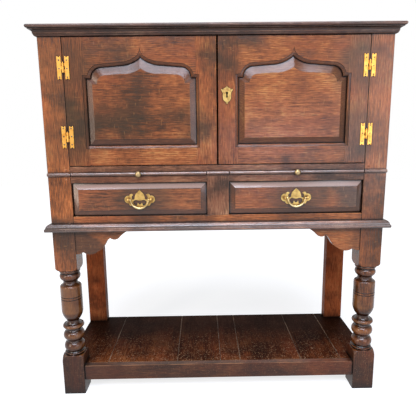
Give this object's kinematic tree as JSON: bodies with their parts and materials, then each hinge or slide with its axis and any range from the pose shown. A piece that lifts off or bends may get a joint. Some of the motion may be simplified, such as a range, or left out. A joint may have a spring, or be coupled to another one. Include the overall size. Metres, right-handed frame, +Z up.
{
  "type": "court cupboard",
  "caption": "Joined oak court cupboard: fielded ogee-headed doors above candle slides and fielded drawers, on turned front legs with a boarded shelf near the floor.",
  "frame": {"origin": "on the floor under the middle of the overall width and depth", "axes": "+Z up from the floor, +X to the right of someone who faces the doors, +Y from the doors to the back"},
  "size_m": [1.184, 0.442, 1.27],
  "materials": {
    "oak_frame": "stained, waxed and worn oak framing",
    "oak_panels": "stained and waxed oak doors, drawer fronts and panels",
    "oak_potboard": "scuffed dark red-brown oak boards",
    "oak_inside": "dry unpolished oak",
    "brass": "rubbed brass with tarnish in the hollows",
    "knob_brass": "dulled turned brass",
    "iron": "blackened wrought iron"
  },
  "bodies": {
    "carcass": {"front_post_left": "oak_frame", "front_post_right": "oak_frame", "back_posts": "oak_frame", "top_rail": "oak_frame", "door_rail": "oak_frame", "drawer_rails": "oak_frame", "bottom_rail": "oak_frame", "centre_muntin": "oak_frame", "side_rails": "oak_frame", "top_boards": "oak_frame", "cornice": "oak_frame", "waist_moulding": "oak_frame", "front_beads": "oak_frame", "bracket_left": "oak_frame", "bracket_right": "oak_frame", "tenon_pegs": "oak_frame", "side_panels": "oak_panels", "potboard_front_rail": "oak_potboard", "potboard_side_rails": "oak_potboard", "potboard_back_rail": "oak_potboard", "potboard_boards": "oak_potboard", "back_rails": "oak_inside", "back_boards": "oak_inside", "cupboard_floor": "oak_inside", "cupboard_shelf": "oak_inside", "shelf_bearers": "oak_inside", "drawer_runners": "oak_inside", "slide_runners": "oak_inside", "hinge_post_leaves": "brass", "hinge_pins": "brass"},
    "left_door": {"left_door_stiles": "oak_panels", "left_door_top_rail": "oak_panels", "left_door_bottom_rail": "oak_panels", "left_door_panel": "oak_panels", "left_hinge_leaves": "brass", "door_bolt_staples": "iron"},
    "right_door": {"right_door_stiles": "oak_panels", "right_door_top_rail": "oak_panels", "right_door_bottom_rail": "oak_panels", "right_door_panel": "oak_panels", "right_hinge_leaves": "brass", "escutcheon": "brass", "lock_case": "iron"},
    "lock_bolt": {"lock_bolt": "iron"},
    "door_bolt": {"door_bolt": "iron"},
    "left_drawer": {"left_drawer_front": "oak_panels", "left_drawer_box": "oak_inside", "left_drawer_bottom": "oak_inside", "left_pull_backplate": "brass"},
    "right_drawer": {"right_drawer_front": "oak_panels", "right_drawer_box": "oak_inside", "right_drawer_bottom": "oak_inside", "right_pull_backplate": "brass"},
    "left_bail": {"left_pull_bail": "brass"},
    "right_bail": {"right_pull_bail": "brass"},
    "left_slide": {"left_slide": "oak_panels", "left_slide_knob": "knob_brass"},
    "right_slide": {"right_slide": "oak_panels", "right_slide_knob": "knob_brass"}
  },
  "joints": [
    {"name": "left_door_hinge", "type": "hinge", "parent": "carcass", "child": "left_door", "pos_m": [-0.4891, -0.1985, 1.03], "axis": [0, 0, -1], "range_deg": [0, 170]},
    {"name": "right_door_hinge", "type": "hinge", "parent": "carcass", "child": "right_door", "pos_m": [0.4891, -0.1985, 1.03], "axis": [0, 0, 1], "range_deg": [0, 170]},
    {"name": "left_drawer_slide", "type": "slide", "parent": "carcass", "child": "left_drawer", "axis": [0, -1, 0], "range_m": [0, 0.26]},
    {"name": "right_drawer_slide", "type": "slide", "parent": "carcass", "child": "right_drawer", "axis": [0, -1, 0], "range_m": [0, 0.26]},
    {"name": "left_candle_slide", "type": "slide", "parent": "carcass", "child": "left_slide", "axis": [0, -1, 0], "range_m": [0, 0.22]},
    {"name": "right_candle_slide", "type": "slide", "parent": "carcass", "child": "right_slide", "axis": [0, -1, 0], "range_m": [0, 0.22]},
    {"name": "left_bail_pivot", "type": "hinge", "parent": "left_drawer", "child": "left_bail", "pos_m": [-0.26325, -0.2055, 0.71725], "axis": [-1, 0, 0], "range_deg": [0, 80]},
    {"name": "right_bail_pivot", "type": "hinge", "parent": "right_drawer", "child": "right_bail", "pos_m": [0.26325, -0.2055, 0.71725], "axis": [-1, 0, 0], "range_deg": [0, 80]},
    {"name": "lock_bolt_throw", "type": "slide", "parent": "right_door", "child": "lock_bolt", "axis": [-1, 0, 0], "range_m": [0, 0.011]},
    {"name": "door_bolt_throw", "type": "slide", "parent": "left_door", "child": "door_bolt", "axis": [0, 0, -1], "range_m": [0, 0.014]}
  ]
}
